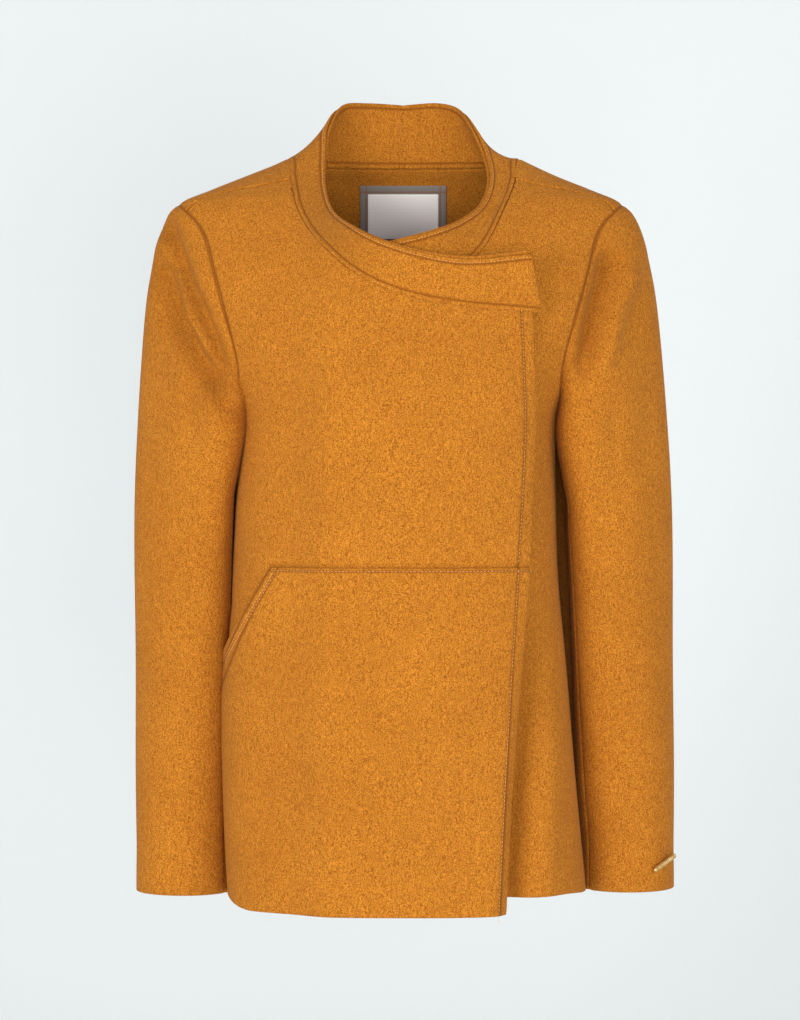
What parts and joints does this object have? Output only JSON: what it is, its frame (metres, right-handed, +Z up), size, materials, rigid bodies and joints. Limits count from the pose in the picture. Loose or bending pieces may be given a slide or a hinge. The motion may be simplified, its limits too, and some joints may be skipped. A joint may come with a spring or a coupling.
{
  "type": "wrap jacket",
  "caption": "Hip-length boiled wool wrap jacket with a funnel collar, overlapping fronts, a slanted patch pocket panel, set-in sleeves, a neck label and a brass bar on one cuff.",
  "frame": {"origin": "middle of the neck at the height of the shoulder neck points, where a hanger or the wearer's shoulders hold the jacket up", "axes": "+Z up, -Y the wearer's front, +X the wearer's left"},
  "size_m": [0.4971, 0.2609, 0.7402],
  "materials": {
    "wool": "matt milled wool",
    "wool_inside": "matt milled wool, inner face",
    "label_border": "ribbed woven tape",
    "label_face": "satin woven",
    "brass": "brushed",
    "stud_steel": "nickel plated"
  },
  "bodies": {
    "shell": {"back_panel": "wool", "right_front_side": "wool", "right_pocket_side": "wool", "left_front_side": "wool", "back_neck_facing": "wool_inside", "label_border": "label_border", "label_face": "label_face", "right_collar_back": "wool", "right_collar_facing_back": "wool_inside", "left_collar_back": "wool", "left_collar_facing_back": "wool_inside"},
    "right_front": {"right_front_wrap": "wool", "right_front_facing": "wool_inside", "right_pocket_wrap": "wool", "right_collar_front": "wool", "right_collar_facing_front": "wool_inside", "stud_socket_upper": "stud_steel", "stud_socket_lower": "stud_steel"},
    "left_front": {"left_front_wrap": "wool", "left_front_facing": "wool_inside", "left_collar_front": "wool", "left_collar_facing_front": "wool_inside", "stud_ball_upper": "stud_steel", "stud_ball_lower": "stud_steel"},
    "right_sleeve": {"right_sleeve_top": "wool", "right_sleeve_under": "wool", "right_cuff_hem": "wool_inside"},
    "left_sleeve": {"left_sleeve_top": "wool", "left_sleeve_under": "wool", "left_cuff_hem": "wool_inside", "cuff_bar": "brass", "cuff_bar_plate": "stud_steel"}
  },
  "joints": [
    {"name": "right_front_open", "type": "hinge", "parent": "shell", "child": "right_front", "pos_m": [-0.132, -0.096, -0.35], "axis": [0, 0, -1], "range_deg": [0, 60]},
    {"name": "left_front_open", "type": "hinge", "parent": "shell", "child": "left_front", "pos_m": [0.129, -0.096, -0.35], "axis": [0, 0, 1], "range_deg": [0, 15]},
    {"name": "right_sleeve_raise", "type": "hinge", "parent": "shell", "child": "right_sleeve", "pos_m": [-0.206, 0, -0.03], "axis": [0, 1, 0], "range_deg": [0, 45]},
    {"name": "left_sleeve_raise", "type": "hinge", "parent": "shell", "child": "left_sleeve", "pos_m": [0.201, 0, -0.03], "axis": [0, -1, 0], "range_deg": [0, 45]}
  ],
  "couplings": [
    {"joint": "left_front_open", "follows": "right_front_open", "ratio": 0.25}
  ]
}
